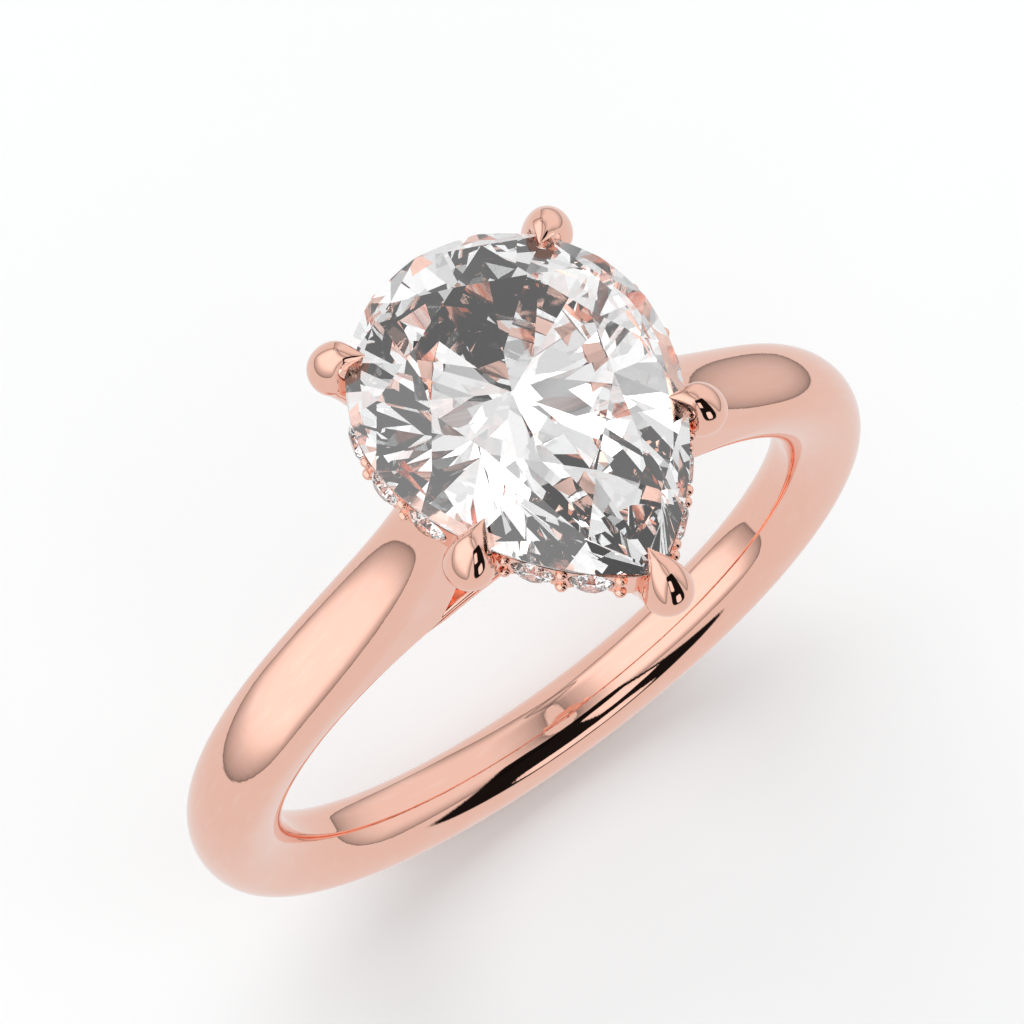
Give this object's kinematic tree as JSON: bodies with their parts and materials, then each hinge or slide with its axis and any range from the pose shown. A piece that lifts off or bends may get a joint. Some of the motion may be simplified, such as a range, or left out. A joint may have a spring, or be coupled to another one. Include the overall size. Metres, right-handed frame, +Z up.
{
  "type": "engagement ring",
  "caption": "Rose gold engagement ring with a pear-cut centre stone in teardrop claws, a hidden halo of small stones under its edge and cathedral shoulders on a comfort-fit band.",
  "frame": {"origin": "centre of the finger hole", "axes": "+Y along the finger away from the pear's point, +Z up through the centre stone, +X to the right shoulder"},
  "size_m": [0.0212, 0.0101, 0.0263],
  "materials": {
    "polished_gold": "mirror-polished rose gold",
    "head_gold": "polished rose gold",
    "centre_diamond": "faceted clear stone",
    "halo_diamond": "faceted clear stone"
  },
  "bodies": {
    "root": {"shank": "polished_gold", "shoulder_left": "polished_gold", "shoulder_right": "polished_gold", "base_rail": "head_gold", "halo_rail": "head_gold", "halo_beads": "head_gold", "centre_stone": "centre_diamond", "claw_point": "head_gold", "claw_wing_left": "head_gold", "claw_wing_right": "head_gold", "claw_rear_left": "head_gold", "claw_rear_right": "head_gold", "halo_stone_left_1": "halo_diamond", "halo_stone_left_2": "halo_diamond", "halo_stone_left_3": "halo_diamond", "halo_stone_left_4": "halo_diamond", "halo_stone_left_5": "halo_diamond", "halo_stone_left_6": "halo_diamond", "halo_stone_left_7": "halo_diamond", "halo_stone_right_1": "halo_diamond", "halo_stone_right_2": "halo_diamond", "halo_stone_right_3": "halo_diamond", "halo_stone_right_4": "halo_diamond", "halo_stone_right_5": "halo_diamond", "halo_stone_right_6": "halo_diamond", "halo_stone_right_7": "halo_diamond"}
  },
  "joints": []
}
